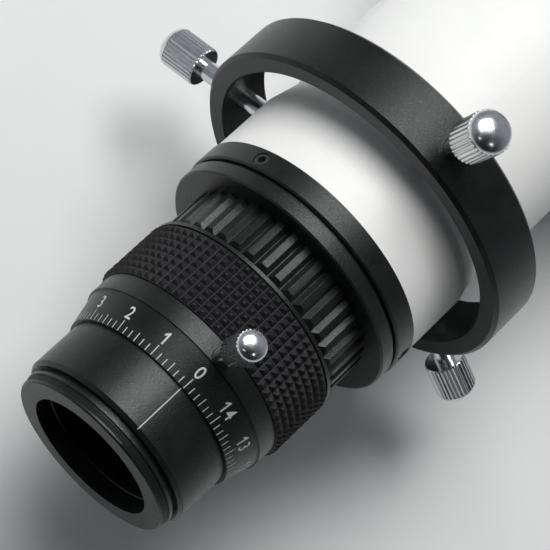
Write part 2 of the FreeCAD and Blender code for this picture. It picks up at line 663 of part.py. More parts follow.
def dome_profile(sketch, base, radius, height):
    """Half the section of a low dome: an arc from the rim to the axis."""
    z = number(base)
    r = number(radius)
    rise = number(height)
    ball = (r * r + rise * rise) / (2 * rise)
    centre = V(0, z + rise - ball, 0)
    rim_angle = math.atan2(z - centre.y, r)
    sketch.addGeometry(Part.LineSegment(V(0, z, 0), V(r, z, 0)), False)
    arc = Part.ArcOfCircle(Part.Circle(centre, V(0, 0, 1), ball), rim_angle, math.pi / 2)
    sketch.addGeometry(arc, False)
    sketch.addGeometry(Part.LineSegment(V(0, z + rise, 0), V(0, z, 0)), False)
    sketch.addConstraint(Sketcher.Constraint("Coincident", 0, 2, 1, 1))
    sketch.addConstraint(Sketcher.Constraint("Coincident", 1, 2, 2, 1))
    sketch.addConstraint(Sketcher.Constraint("Coincident", 2, 2, 0, 1))
    sketch.addConstraint(Sketcher.Constraint("PointOnObject", 1, 3, -2))
    sketch.addConstraint(Sketcher.Constraint("PointOnObject", 0, 1, -2))
    sketch.addConstraint(Sketcher.Constraint("PointOnObject", 1, 2, -2))
    sketch.addConstraint(Sketcher.Constraint("Horizontal", 0))
    bound = (("DistanceY", -1, 1, 0, 1, z, base), ("DistanceX", -1, 1, 0, 2, r, radius),
             ("DistanceY", -1, 1, 1, 2, z + rise, f"({base} + {height})"))
    for kind, first, first_at, second, second_at, at, expression in bound:
        index = sketch.addConstraint(Sketcher.Constraint(kind, first, first_at, second, second_at, at))
        sketch.setExpression(f"Constraints[{index}]", expression)


def tip(label, radius, length, peg):
    """A nylon tip with a slightly rounded end, pegged into its screw."""
    peg_end = f"({length} + {cell('tip_peg_len')})"
    rounding = f"({cell('tip_round')} - sqrt({cell('tip_round')}^2 - {radius}^2))"
    middle = f"({cell('tip_round')} - sqrt({cell('tip_round')}^2 - ({radius} / 2)^2))"
    return turned(label, [
        ("0", "0"),
        (f"({radius} / 2)", middle),
        (radius, rounding),
        (radius, length),
        (peg, length),
        (peg, peg_end),
        ("0", peg_end),
    ])


# Lock screw in the band of the focus ring
def lock_screw():
    touch = f"({half('drawtube_d')} + {cell('tip_clear')} / 2)"
    start = f"({touch} + {cell('lock_tip_len')})"
    reach = f"({R_BAND} + {cell('lock_neck')} - {start})"
    screw = thumbscrew("lock_screw", cell("lock_shank_d"), reach, cell("lock_head_d"),
                       cell("lock_head_len"), cell("lock_dome"), cell("lock_flutes"))
    on_scope(screw, size("lock_turn"), start, Z_LOCK)
    tip_r = f"({half('lock_shank_d')} - {cell('run_clear')} * 2)"
    peg = f"({half('tip_peg_d')} * {cell('lock_shank_d')} / {cell('thumb_shank_d')})"
    on_scope(tip("lock_screw_tip", tip_r, cell("lock_tip_len"), peg), size("lock_turn"), touch, Z_LOCK)


# Collar between focuser and tube, with three set screws on the base's spigot
def tube_collar():
    bore = f"({R_BASE_SPIGOT} + {cell('slip_clear')})"
    spigot = f"({R_TUBE_BORE} - {cell('slip_clear')})"
    z_spigot = f"({Z_TUBE} + {cell('tube_spigot_len')})"
    edge = cell("flange_chamfer")
    body = turned("tube_collar", [
        (bore, Z_COLLAR),
        (f"({R_TUBE_COLLAR} - {edge})", Z_COLLAR),
        (R_TUBE_COLLAR, f"({Z_COLLAR} + {edge})"),
        (R_TUBE_COLLAR, Z_TUBE),
        (spigot, Z_TUBE),
        (spigot, z_spigot),
        (bore, z_spigot),
    ])
    on_axis(body, size("set_screw_turn"))
    hole = f"({half('set_screw_d')} + {cell('slip_clear')})"
    station = f"({Z_COLLAR} + {cell('set_screw_at')})"
    first = radial_hole(body, "set_screw_hole", station, hole, f"(2 * {R_TUBE_COLLAR})")
    ring_pattern(body, "set_screw_holes", first, "3")
    length = f"({R_TUBE_COLLAR} - {bore} - {cell('set_screw_sink')})"
    for index in range(3):
        profile = [("0", "0"), (half("set_screw_d"), "0"), (half("set_screw_d"), length), ("0", length)]
        screw = turned(f"set_screw_{index + 1}", profile)
        on_scope(screw, size("set_screw_turn") + 120.0 * index, bore, station)
        hex_socket(screw, "set_socket", f"({cell('set_screw_d')} * {cell('hex_share')})",
                   f"({length} / 2)", length)


# Main tube with the turned waist under the rear ring
def main_tube():
    outer = half("tube_d")
    z_waist = f"({Z_TUBE} + {cell('waist_at')})"
    on_axis(turned("main_tube", [
        (R_TUBE_BORE, Z_TUBE),
        (outer, Z_TUBE),
        (outer, z_waist),
        (f"({outer} - {cell('waist_depth')})", f"({z_waist} + {cell('waist_len')} / 2)"),
        (outer, f"({z_waist} + {cell('waist_len')})"),
        (outer, Z_TUBE_END),
        (R_TUBE_BORE, Z_TUBE_END),
    ]))


def baffle(label, at, height):
    outer = f"({R_TUBE_BORE} - {cell('slip_clear')})"
    hole = f"({R_TUBE_BORE} - {cell(height)})"
    wall = cell("baffle_wall")
    station = f"({Z_TUBE} + {cell(at)})"
    on_axis(turned(label, [
        (hole, station),
        (outer, station),
        (outer, f"({station} + {cell('baffle_rim')})"),
        (f"({outer} - {wall})", f"({station} + {cell('baffle_rim')})"),
        (f"({outer} - {wall})", f"({station} + {wall})"),
        (hole, f"({station} + {wall})"),
    ]))


# Objective: cell, two lenses, spacer, retaining ring and dew shield
def objective_cell():
    skirt = f"({half('tube_d')} + {cell('slip_clear')})"
    pocket = f"({R_LENS} + {cell('slip_clear')})"
    throat = f"({R_LENS} - {cell('lens_rest')})"
    z_skirt = f"({Z_TUBE_END} - {cell('cell_skirt_len')})"
    on_axis(turned("objective_cell", [
        (skirt, z_skirt),
        (f"({R_CELL} - {cell('flange_chamfer')})", z_skirt),
        (R_CELL, f"({z_skirt} + {cell('flange_chamfer')})"),
        (R_CELL, Z_CELL_END),
        (pocket, Z_CELL_END),
        (pocket, Z_SEAT),
        (throat, Z_SEAT),
        (throat, Z_TUBE_END),
        (skirt, Z_TUBE_END),
    ]))


def lens(label, rear, front, rear_radius, front_radius):
    """A lens between two flat rims; a curve's bulge is positive away from the glass."""
    edge = R_LENS
    clear = f"({edge} - {cell('lens_land')})"
    body = new_body(label)
    sketch = sketch_on(body, f"{label}_profile", "XZ_Plane")
    r = number(edge)
    c = number(clear)
    low = number(rear)
    high = number(front)

    def bulge(radius):
        curve = number(radius)
        sign = 1 if curve > 0 else -1
        return sign * (abs(curve) - math.sqrt(curve * curve - c * c))

    bottom = V(0, low - bulge(rear_radius), 0)
    top = V(0, high + bulge(front_radius), 0)

    def arc(start, middle, end):
        return Part.Arc(start, middle, end)

    def between(rim, apex, radius):
        """A point half way along the curve."""
        curve = abs(number(radius))
        drop = curve - math.sqrt(curve * curve - (c / 2) ** 2)
        towards = 1 if rim > apex.y else -1
        return V(c / 2, apex.y + towards * drop, 0)

    sketch.addGeometry(arc(bottom, between(low, bottom, rear_radius), V(c, low, 0)), False)
    sketch.addGeometry(Part.LineSegment(V(c, low, 0), V(r, low, 0)), False)
    sketch.addGeometry(Part.LineSegment(V(r, low, 0), V(r, high, 0)), False)
    sketch.addGeometry(Part.LineSegment(V(r, high, 0), V(c, high, 0)), False)
    sketch.addGeometry(arc(V(c, high, 0), between(high, top, front_radius), top), False)
    sketch.addGeometry(Part.LineSegment(top, bottom), False)
    for first, second in ((1, 2), (2, 3)):
        sketch.addConstraint(Sketcher.Constraint("Coincident", first, 2, second, 1))
    for kind, geometry, end, at, expression in (
        ("DistanceX", 1, 1, c, clear),
        ("DistanceX", 1, 2, r, edge),
        ("DistanceY", 1, 1, low, rear),
        ("DistanceY", 3, 2, high, front),
        ("DistanceX", 3, 2, c, clear),
    ):
        index = sketch.addConstraint(Sketcher.Constraint(kind, -1, 1, geometry, end, at))
        sketch.setExpression(f"Constraints[{index}]", expression)
    turn = body.newObject("PartDesign::Revolution", f"{label}_turned")
    turn.Profile = sketch
    turn.ReferenceAxis = (sketch, ["V_Axis"])
    turn.Angle = 360
    on_axis(body)
    return body


def lens_spacer():
    on_axis(turned("lens_spacer", [
        (f"({R_LENS} - {cell('lens_land')})", Z_FLINT),
        (R_LENS, Z_FLINT),
        (R_LENS, Z_CROWN),
        (f"({R_LENS} - {cell('lens_land')})", Z_CROWN),
    ]))


def retaining_ring():
    z_front = f"({Z_CROWN_FRONT} + {cell('retaining_ring_len')})"
    on_axis(turned("lens_retaining_ring", [
        (f"({R_LENS} - {cell('lens_land')})", Z_CROWN_FRONT),
        (R_LENS, Z_CROWN_FRONT),
        (R_LENS, z_front),
        (f"({R_LENS} - {cell('retaining_ring_width')})", z_front),
    ]))


def dew_shield():
    seat = f"({R_CELL} + {cell('slip_clear')})"
    inner = f"({R_DEW_SHIELD} - {cell('dew_shield_wall')})"
    edge = cell("dew_shield_chamfer")
    z_rear = f"({Z_CELL_END} - {cell('dew_shield_overlap')})"
    z_front = f"({z_rear} + {cell('dew_shield_len')})"
    on_axis(turned("dew_shield", [
        (seat, z_rear),
        (f"({R_DEW_SHIELD} - {edge})", z_rear),
        (R_DEW_SHIELD, f"({z_rear} + {edge})"),
        (R_DEW_SHIELD, f"({z_front} - {edge})"),
        (f"({R_DEW_SHIELD} - {edge})", z_front),
        (inner, z_front),
        (inner, Z_CELL_END),
        (seat, Z_CELL_END),
    ]))


# Mounting rings with their feet, thumbscrews and bolts
def mounting_ring(label, y):
    edge = cell("ring_chamfer")
    lip = cell("ring_inner_chamfer")
    front = half("ring_w")
    rear = f"(-{front})"
    body = turned(label, [
        (R_RING_BORE, f"({rear} + {lip})"),
        (f"({R_RING_BORE} + {lip})", rear),
        (f"({R_RING} - {edge})", rear),
        (R_RING, f"({rear} + {edge})"),
        (R_RING, f"({front} - {edge})"),
        (f"({R_RING} - {edge})", front),
        (f"({R_RING_BORE} + {lip})", front),
        (R_RING_BORE, f"({front} - {lip})"),
    ])
    put(body, ALONG_Y.multiply(FreeCAD.Rotation(V(0, 0, 1), -90)), "0", y, RING_HEIGHT)
    hole = f"({half('thumb_shank_d')} + {cell('run_clear')})"
    first = radial_hole(body, f"{label}_screw_hole", "0", hole, f"(2 * {R_RING})")
    holes = ring_pattern(body, f"{label}_screw_holes", first, "3")
    doc.recompute()
    foot = sketch_on(body, f"{label}_foot_outline", "XY_Plane", f"({rear} + {edge})")
    inside = f"(-({R_RING_BORE} + {lip} * 4))"
    out = f"(-{FOOT_REACH})"
    side = half("foot_w")
    outline(foot, [(inside, f"(-{side})"), (inside, side), (out, side), (out, f"(-{side})")])
    pad = body.newObject("PartDesign::Pad", f"{label}_foot")
    pad.Profile = foot
    pad.setExpression("Length", f"({cell('ring_w')} - 2 * {edge})")
    body.Tip = pad
    doc.recompute()
    if pad.Shape.Volume <= holes.Shape.Volume:
        raise ValueError(f"{label}: the foot adds nothing")
    thread = circle_sketch(body, f"{label}_bolt_circle", "YZ_Plane", "0", "0", half("bolt_d"), out)
    cut(body, f"{label}_bolt_hole", thread, cell("ring_bolt_depth"), True)
    return body


def ring_screws(label, station):
    """Three thumbscrews whose tips stand on the tube, off the rings' centre as it is."""
    middle = f"({Z_TUBE} + {cell('waist_at')} + {cell('waist_len')} / 2)"
    share = max(0.0, 1 - abs(number(station) - number(middle)) / (size("waist_len") / 2))
    radius = f"({half('tube_d')} - {share:.6f} * {cell('waist_depth')})"
    shank = f"({cell('thumb_reach')} - {cell('thumb_tip_len')})"
    for name, turn in (("top", 0.0), ("right", 120.0), ("left", -120.0)):
        across = math.sin(math.radians(turn))
        up = math.cos(math.radians(turn))
        along = f"({across:.9f} * {SIDE} - {up:.9f} * {cell('ring_drop')})"
        off = f"({SIDE}^2 + {cell('ring_drop')}^2)"
        touch = f"({along} + sqrt({radius}^2 - {off} + {along}^2) + {cell('tip_clear')})"
        screw = thumbscrew(f"{label}_screw_{name}", cell("thumb_shank_d"), shank, cell("thumb_head_d"),
                           cell("thumb_head_len"), cell("thumb_dome"), cell("thumb_flutes"))
        radial(screw, turn, f"({touch} + {cell('thumb_tip_len')})", station, "0", RING_HEIGHT)
        end = tip(f"{label}_tip_{name}", half("thumb_tip_d"), cell("thumb_tip_len"), half("tip_peg_d"))
        radial(end, turn, touch, station, "0", RING_HEIGHT)


def dovetail_bar():
    body = new_body("dovetail_bar")
    length = cell("bar_len")
    top = f"({half('bar_w')} - {cell('bar_h')} * tan({cell('bar_flank')}))"
    low = half("bar_w")
    sketch = sketch_on(body, "bar_section", "XZ_Plane")
    outline(sketch, [
        (f"(-{low})", "0"),
        (low, "0"),
        (top, cell("bar_h")),
        (f"(-{top})", cell("bar_h")),
    ])
    pad = body.newObject("PartDesign::Pad", "bar_pad")
    pad.Profile = sketch
    pad.setExpression("Length", length)
    pad.SideType = "Symmetric"
    doc.recompute()
    previous = pad
    for index, sign in enumerate(("-", "")):
        at = f"({sign}{cell('ring_spacing')} / 2)"
        through = circle_sketch(body, f"bolt_circle_{index}", "XY_Plane", "0", at,
                                f"({half('bolt_d')} + {cell('bolt_clear')})")
        cut(body, f"bolt_hole_{index}", through, cell("bar_h") + " * 2", True)
        head = circle_sketch(body, f"head_circle_{index}", "XY_Plane", "0", at,
                             f"({half('bolt_head_d')} + {cell('bolt_head_clear')})")
        previous = cut(body, f"head_pocket_{index}", head, cell("bolt_sink"), True)
    ends = [f"Edge{i}" for i, edge in enumerate(previous.Shape.Edges, start=1)
            if abs(abs(sum(v.Y for v in edge.Vertexes)) - size("bar_len")) < 1e-6]
    chamfer = body.newObject("PartDesign::Chamfer", "bar_ends")
    chamfer.Base = (previous, ends)
    chamfer.setExpression("Size", cell("bar_chamfer"))
    body.Tip = chamfer
    return body


def ring_bolt(label, y):
    head_top = f"({cell('bolt_sink')} - {cell('bolt_head_len')})"
    z_shank = f"({cell('bar_h')} + {cell('bolt_grip')})"
    shank = f"({half('bolt_d')} - {cell('peg_clear')})"
    body = turned(label, [
        ("0", head_top),
        (half("bolt_head_d"), head_top),
        (half("bolt_head_d"), cell("bolt_sink")),
        (shank, cell("bolt_sink")),
        (shank, z_shank),
        ("0", z_shank),
    ])
    put(body, FreeCAD.Rotation(), "0", y, "0")
    doc.recompute()
    sketch = sketch_on(body, f"{label}_hexagon", "XY_Plane", head_top)
    corner = f"({cell('bolt_head_d')} * {cell('hex_share')} / sqrt(3))"
    outline(sketch, [(f"{corner} * cos({60 * i})", f"{corner} * sin({60 * i})") for i in range(6)])
    cut(body, f"{label}_socket", sketch, f"({cell('bolt_head_len')} / 2)", True)


end_ring()
drawtube()
focus_ring()
grip_sleeve()
lock_screw()
focuser_base()
retainer_screws()
guide_screw()
tube_collar()
main_tube()
baffle("rear_baffle", "baffle_rear_at", "baffle_rear_height")
baffle("front_baffle", "baffle_front_at", "baffle_front_height")
objective_cell()
lens("flint_lens", Z_SEAT, Z_FLINT, cell("flint_rear_radius"), f"(-{cell('inner_radius')})")
lens_spacer()
lens("crown_lens", Z_CROWN, Z_CROWN_FRONT, cell("inner_radius"), cell("crown_front_radius"))
retaining_ring()
dew_shield()
for ring_name, ring_station in (
    ("rear_ring", cell("rear_ring_at")),
    ("front_ring", f"({cell('rear_ring_at')} + {cell('ring_spacing')})"),
):
    ring_y = f"({ring_station} - {MID_STATION})"
    mounting_ring(ring_name, ring_y)
    ring_screws(ring_name, ring_station)
    ring_bolt(f"{ring_name}_bolt", ring_y)
dovetail_bar()

doc.recompute()
failed = [item.Label for item in doc.Objects if "Invalid" in item.State or "Error" in item.State]
if failed:
    raise ValueError(f"features failed: {failed}")
for part in SUBPARTS:
    if part.Shape.isNull() or not part.Shape.isValid():
        raise ValueError(f"{part.Label} has no valid shape")

os.makedirs("parts", exist_ok=True)
for part in SUBPARTS:
    part.Shape.exportStep(f"parts/{part.Label}.step")
print(f"{len(SUBPARTS)} sub-parts written")
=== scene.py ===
"""Looks of the guide scope: materials, engraved scale, fine threads, lights and camera.

Everything is in metres in the frame of the model: +Z up, the optical axis along Y with the
objective towards +Y, and the underside of the dovetail bar on the floor.
"""

import bpy
import math
from mathutils import Matrix, Vector


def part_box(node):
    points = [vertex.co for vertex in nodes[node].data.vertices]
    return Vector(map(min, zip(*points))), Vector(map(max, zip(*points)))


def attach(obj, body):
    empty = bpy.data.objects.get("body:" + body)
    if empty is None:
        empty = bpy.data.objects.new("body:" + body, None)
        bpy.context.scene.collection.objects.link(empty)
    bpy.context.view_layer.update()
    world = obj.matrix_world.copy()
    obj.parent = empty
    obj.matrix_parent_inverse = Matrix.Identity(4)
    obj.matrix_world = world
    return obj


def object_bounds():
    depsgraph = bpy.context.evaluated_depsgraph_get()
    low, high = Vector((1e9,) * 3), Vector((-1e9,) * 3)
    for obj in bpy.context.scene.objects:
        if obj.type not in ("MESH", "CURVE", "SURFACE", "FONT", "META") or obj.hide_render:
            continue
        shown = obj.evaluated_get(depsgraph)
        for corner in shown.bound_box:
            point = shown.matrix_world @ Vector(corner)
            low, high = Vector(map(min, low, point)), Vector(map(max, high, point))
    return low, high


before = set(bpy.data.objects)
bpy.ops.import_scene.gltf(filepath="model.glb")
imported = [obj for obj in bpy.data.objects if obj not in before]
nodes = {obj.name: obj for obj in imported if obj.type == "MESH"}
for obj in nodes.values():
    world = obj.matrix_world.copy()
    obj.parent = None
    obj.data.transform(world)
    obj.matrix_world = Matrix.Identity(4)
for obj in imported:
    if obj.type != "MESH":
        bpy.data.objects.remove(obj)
cad_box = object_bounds()

MM = 0.001


def number_box(name):
    low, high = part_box(name)
    return Vector(low), Vector(high)


# Where the optical axis lies, from the end ring's own box
END_LOW, END_HIGH = number_box("eyepiece_end_ring")
AXIS_X = (END_LOW.x + END_HIGH.x) / 2
AXIS_Z = (END_LOW.z + END_HIGH.z) / 2
END_Y = END_LOW.y

# Degrees by which the scope is turned in its rings
SCOPE_TURN = -1.0


def on_axis(station, radius, turn):
    """A point from its distance to the end face, its radius, and its angle from the scope's top towards +X."""
    angle = math.radians(turn + SCOPE_TURN)
    return Vector((
        AXIS_X + radius * MM * math.sin(angle),
        END_Y + station * MM,
        AXIS_Z + radius * MM * math.cos(angle),
    ))


# Node helpers for materials
class Tree:
    def __init__(self, name):
        self.material = bpy.data.materials.new(name)
        self.material.use_nodes = True
        self.tree = self.material.node_tree
        self.shader = self.tree.nodes["Principled BSDF"]
        self.place = self.add("ShaderNodeTexCoord").outputs["Object"]

    def add(self, kind, **values):
        node = self.tree.nodes.new(kind)
        for key, value in values.items():
            if hasattr(node, key):
                setattr(node, key, value)
            else:
                node.inputs[key].default_value = value
        return node

    def link(self, source, target):
        self.tree.links.new(source, target)

    def set(self, **values):
        for key, value in values.items():
            self.shader.inputs[key.replace("_", " ")].default_value = value

    def noise(self, scale, detail=2.0, rough=0.5):
        node = self.add("ShaderNodeTexNoise")
        node.inputs["Scale"].default_value = scale
        node.inputs["Detail"].default_value = detail
        node.inputs["Roughness"].default_value = rough
        self.link(self.place, node.inputs["Vector"])
        return node.outputs["Fac"]

    def ramp(self, source, stops):
        node = self.add("ShaderNodeValToRGB")
        ramp = node.color_ramp
        while len(ramp.elements) < len(stops):
            ramp.elements.new(0.5)
        for element, (at, colour) in zip(ramp.elements, stops):
            element.position = at
            element.color = colour
        self.link(source, node.inputs["Fac"])
        return node.outputs["Color"]

    def spread(self, source, low, high):
        node = self.add("ShaderNodeMapRange")
        node.inputs["From Min"].default_value = 0.3
        node.inputs["From Max"].default_value = 0.7
        node.inputs["To Min"].default_value = low
        node.inputs["To Max"].default_value = high
        self.link(source, node.inputs["Value"])
        return node.outputs["Result"]

    def bump(self, source, height, strength=1.0, before=None):
        node = self.add("ShaderNodeBump")
        node.inputs["Strength"].default_value = strength
        node.inputs["Distance"].default_value = height
        self.link(source, node.inputs["Height"])
        if before is not None:
            self.link(before, node.inputs["Normal"])
        return node.outputs["Normal"]

    def rounded(self, radius):
        node = self.add("ShaderNodeBevel")
        node.samples = 6
        node.inputs["Radius"].default_value = radius
        return node.outputs["Normal"]

    def from_axis(self):
        """Distance of a point from the optical axis."""
        offset = self.add("ShaderNodeVectorMath")
        offset.operation = "SUBTRACT"
        self.link(self.place, offset.inputs[0])
        offset.inputs[1].default_value = (AXIS_X, 0.0, AXIS_Z)
        flat = self.add("ShaderNodeVectorMath")
        flat.operation = "MULTIPLY"
        self.link(offset.outputs["Vector"], flat.inputs[0])
        flat.inputs[1].default_value = (1.0, 0.0, 1.0)
        length = self.add("ShaderNodeVectorMath")
        length.operation = "LENGTH"
        self.link(flat.outputs["Vector"], length.inputs[0])
        return length.outputs["Value"]

    def between(self, source, low, high, at_low=0.0, at_high=1.0):
        node = self.add("ShaderNodeMapRange")
        node.inputs["From Min"].default_value = low
        node.inputs["From Max"].default_value = high
        node.inputs["To Min"].default_value = at_low
        node.inputs["To Max"].default_value = at_high
        self.link(source, node.inputs["Value"])
        return node.outputs["Result"]

    def mixed(self, share, first, second):
        """Colour that goes from the first to the second as the share rises."""
        node = self.add("ShaderNodeMix")
        node.data_type = "RGBA"
        self.link(share, node.inputs["Factor"])
        for socket, value in ((node.inputs[6], first), (node.inputs[7], second)):
            if isinstance(value, tuple):
                socket.default_value = value
            else:
                self.link(value, socket)
        return node.outputs[2]


def grey(value, tint=(0.0, 0.0, 0.0)):
    return (value + tint[0], value + tint[1], value + tint[2], 1.0)


def anodised(name, dark=0.006, light=0.011, grain=0.00006, rough=(0.22, 0.42)):
    """Black anodising over a blasted surface: fine grain that sparkles in the light."""
    t = Tree(name)
    fine = t.noise(4800.0, 1.0, 0.5)
    broad = t.noise(160.0, 3.0, 0.6)
    stops = [(0.35, grey(dark)), (0.68, grey(light, (0.0, 0.001, 0.0005)))]
    t.link(t.ramp(broad, stops), t.shader.inputs["Base Color"])
    t.link(t.spread(fine, rough[0], rough[1]), t.shader.inputs["Roughness"])
    t.link(t.bump(fine, grain, 1.0, t.rounded(0.00012)), t.shader.inputs["Normal"])
    t.set(Metallic=0.0, IOR=1.38, Specular_Tint=(0.94, 1.0, 0.96, 1.0))
    return t


def paint(name):
    """Smooth white paint with the faint waviness of a sprayed coat."""
    t = Tree(name)
    broad = t.noise(45.0, 3.0, 0.55)
    peel = t.noise(900.0, 2.0, 0.5)
    stops = [(0.3, (0.78, 0.78, 0.755, 1)), (0.7, (0.82, 0.82, 0.80, 1))]
    t.link(t.ramp(broad, stops), t.shader.inputs["Base Color"])
    t.link(t.spread(peel, 0.46, 0.54), t.shader.inputs["Roughness"])
    t.link(t.bump(peel, 0.000006, 0.5, t.rounded(0.0002)), t.shader.inputs["Normal"])
    t.set(IOR=1.34)
    return t


# Radii in metres between which the grip's skin turns into its grooves, which carry a painted highlight
GRIP_SKIN_R = 0.02618
GRIP_GROOVE_R = 0.02602


def rubber(name):
    """Moulded rubber: matt, slightly purple black, with a painted highlight in the grooves."""
    t = Tree(name)
    fine = t.noise(3800.0, 2.0, 0.6)
    broad = t.noise(500.0, 3.0, 0.6)
    skin = t.ramp(broad, [(0.3, (0.006, 0.0055, 0.0065, 1)), (0.72, (0.013, 0.0115, 0.014, 1))])
    groove_highlight = t.between(t.from_axis(), GRIP_SKIN_R, GRIP_GROOVE_R)
    # Painted highlight: the groove bottoms are coloured lighter where their flats would catch the light
    t.link(t.mixed(groove_highlight, skin, (0.045, 0.045, 0.048, 1)), t.shader.inputs["Base Color"])
    t.link(t.spread(broad, 0.6, 0.74), t.shader.inputs["Roughness"])
    t.link(t.bump(fine, 0.00002, 0.8, t.rounded(0.0001)), t.shader.inputs["Normal"])
    t.set(IOR=1.33)
    return t


def plated(name):
    """Polished nickel plate with faint turning marks and a little cloudiness."""
    t = Tree(name)
    broad = t.noise(700.0, 3.0, 0.6)
    fine = t.noise(6000.0, 2.0, 0.5)
    stops = [(0.3, (0.62, 0.625, 0.64, 1)), (0.7, (0.76, 0.765, 0.775, 1))]
    t.link(t.ramp(broad, stops), t.shader.inputs["Base Color"])
    t.link(t.spread(broad, 0.16, 0.26), t.shader.inputs["Roughness"])
    t.link(t.bump(fine, 0.0000015, 0.5, t.rounded(0.0003)), t.shader.inputs["Normal"])
    t.set(Metallic=1.0)
    return t


def plain(name, low, high, rough, ior=1.5, grain=0.00001):
    """A surface between two tones, with a fine grain."""
    t = Tree(name)
    broad = t.noise(600.0, 3.0, 0.6)
    fine = t.noise(4200.0, 2.0, 0.5)
    t.link(t.ramp(broad, [(0.3, low), (0.7, high)]), t.shader.inputs["Base Color"])
    t.link(t.spread(broad, rough[0], rough[1]), t.shader.inputs["Roughness"])
    t.link(t.bump(fine, grain, 0.7, t.rounded(0.0001)), t.shader.inputs["Normal"])
    t.set(IOR=ior)
    return t


def coated_glass(name):
    """Lens glass with a green coating."""
    t = Tree(name)
    broad = t.noise(30.0, 2.0, 0.5)
    stops = [(0.3, (0.80, 0.93, 0.88, 1)), (0.7, (0.86, 0.95, 0.92, 1))]
    t.link(t.ramp(broad, stops), t.shader.inputs["Base Color"])
    t.link(t.spread(broad, 0.0, 0.01), t.shader.inputs["Roughness"])
    t.set(IOR=1.52)
    t.shader.inputs["Transmission Weight"].default_value = 1.0
    t.shader.inputs["Coat Weight"].default_value = 0.6
    t.shader.inputs["Coat Tint"].default_value = (0.55, 0.9, 0.75, 1)
    return t


black = anodised("black_anodising").material
ring_black = anodised("ring_anodising", 0.005, 0.009).material
white = paint("white_paint").material
grip_rubber = rubber("grip_rubber").material
bright = plated("nickel_plate").material
dark_steel = plain(
    "black_oxide_steel", (0.012, 0.012, 0.013, 1), (0.03, 0.03, 0.032, 1), (0.3, 0.42)
).material
nylon = plain("dark_nylon", (0.035, 0.035, 0.038, 1), (0.06, 0.06, 0.064, 1), (0.3, 0.4)).material
flat_black = plain(
    "flat_black", (0.005, 0.005, 0.005, 1), (0.009, 0.009, 0.009, 1), (0.75, 0.9)
).material
thread_black = anodised("thread_black", 0.004, 0.007, 0.00001, (0.5, 0.6)).material
glass = coated_glass("coated_glass").material
ink = plain("scale_ink", (0.50, 0.51, 0.50, 1), (0.60, 0.61, 0.60, 1), (0.5, 0.6)).material


def dress(names, material):
    for name in names:
        mesh = nodes[name].data
        mesh.materials.clear()
        mesh.materials.append(material)


RINGS = ("rear", "front")
SCREW_TURNS = (("top", 0.0), ("right", 120.0), ("left", -120.0))
thumbscrews = [f"{ring}_ring_screw_{place}" for ring in RINGS for place, turn in SCREW_TURNS]
tips = [f"{ring}_ring_tip_{place}" for ring in RINGS for place, turn in SCREW_TURNS]
dress(["eyepiece_end_ring", "drawtube", "focus_ring", "focuser_base", "tube_collar",
       "objective_cell", "lens_retaining_ring", "dew_shield", "dovetail_bar"], black)
dress(["rear_ring", "front_ring"], ring_black)
dress(["main_tube"], white)
dress(["grip_sleeve"], grip_rubber)
dress(["lock_screw"] + thumbscrews, bright)
dress(["lock_screw_tip"] + tips, nylon)
dress(["retainer_screw_1", "retainer_screw_2", "retainer_screw_3", "guide_screw", "set_screw_1",
       "set_screw_2", "set_screw_3", "rear_ring_bolt", "front_ring_bolt"], dark_steel)
dress(["rear_baffle", "front_baffle", "lens_spacer"], flat_black)
dress(["crown_lens", "flint_lens"], glass)


def mesh_piece(name, points, faces, material, body):
    """A piece of the scene's own that rides on a body."""
    mesh = bpy.data.meshes.new(name)
    mesh.from_pydata([tuple(p) for p in points], [], faces)
    mesh.update()
    mesh.materials.append(material)
    piece = bpy.data.objects.new(name, mesh)
    bpy.context.scene.collection.objects.link(piece)
    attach(piece, body)
    return piece


# Engraved scale on the cone: stations and radii along its slant
CONE_START, CONE_START_R = 17.7, 23.45
CONE_END, CONE_END_R = 25.4, 25.4
CONE_SLOPE = (CONE_END_R - CONE_START_R) / (CONE_END - CONE_START)
PAINT_LIFT = 0.02

# The ticks: every third is longer, and every sixth the longest
TICK_STEP = 4.0
TICK_START = 17.79
TICK_WIDTH = 0.2
TICK_RADIUS = 23.8
TICK_LONG, TICK_MIDDLE, TICK_SHORT = 2.63, 2.16, 1.68

# The numbers
DIGIT_COUNT = 15
DIGIT_STEP = 24.0
DIGIT_SIZE = 3.7
DIGIT_CAP = 0.7
DIGIT_SPACING = 2.2
DIGIT_WEIGHT = 0.035
DIGIT_END = 23.8
DIGIT_RADIUS = 24.6
DIGIT_STRETCH = 1.165


def on_cone(station, turn):
    radius = CONE_START_R + (station - CONE_START) * CONE_SLOPE + PAINT_LIFT
    return on_axis(station, radius, turn)


def scale_ticks():
    points, faces = [], []
    half = math.degrees(TICK_WIDTH / 2 / TICK_RADIUS)
    lengths = (TICK_LONG, TICK_SHORT, TICK_SHORT, TICK_MIDDLE, TICK_SHORT, TICK_SHORT)
    for index in range(int(360 / TICK_STEP)):
        end = TICK_START + lengths[index % 6]
        turn = index * TICK_STEP
        base = len(points)
        points += [on_cone(TICK_START, turn - half), on_cone(TICK_START, turn + half),
                   on_cone(end, turn + half), on_cone(end, turn - half)]
        faces.append((base, base + 1, base + 2, base + 3))
    mesh_piece("scale_ticks", points, faces, ink, "focus_ring")


def digit_mesh(text, size):
    """Outline triangles of a number, centred, in millimetres."""
    curve = bpy.data.curves.new("number_shape", "FONT")
    curve.body = text
    curve.size = size
    curve.offset = DIGIT_WEIGHT
    curve.align_x = "CENTER"
    curve.align_y = "CENTER"
    curve.resolution_u = 6
    holder = bpy.data.objects.new("number_shape", curve)
    bpy.context.scene.collection.objects.link(holder)
    bpy.context.view_layer.update()
    depsgraph = bpy.context.evaluated_depsgraph_get()
    mesh = bpy.data.meshes.new_from_object(holder.evaluated_get(depsgraph))
    shape = ([v.co.copy() for v in mesh.vertices], [tuple(f.vertices) for f in mesh.polygons])
    bpy.data.objects.remove(holder)
    bpy.data.meshes.remove(mesh)
    bpy.data.curves.remove(curve)
    return shape


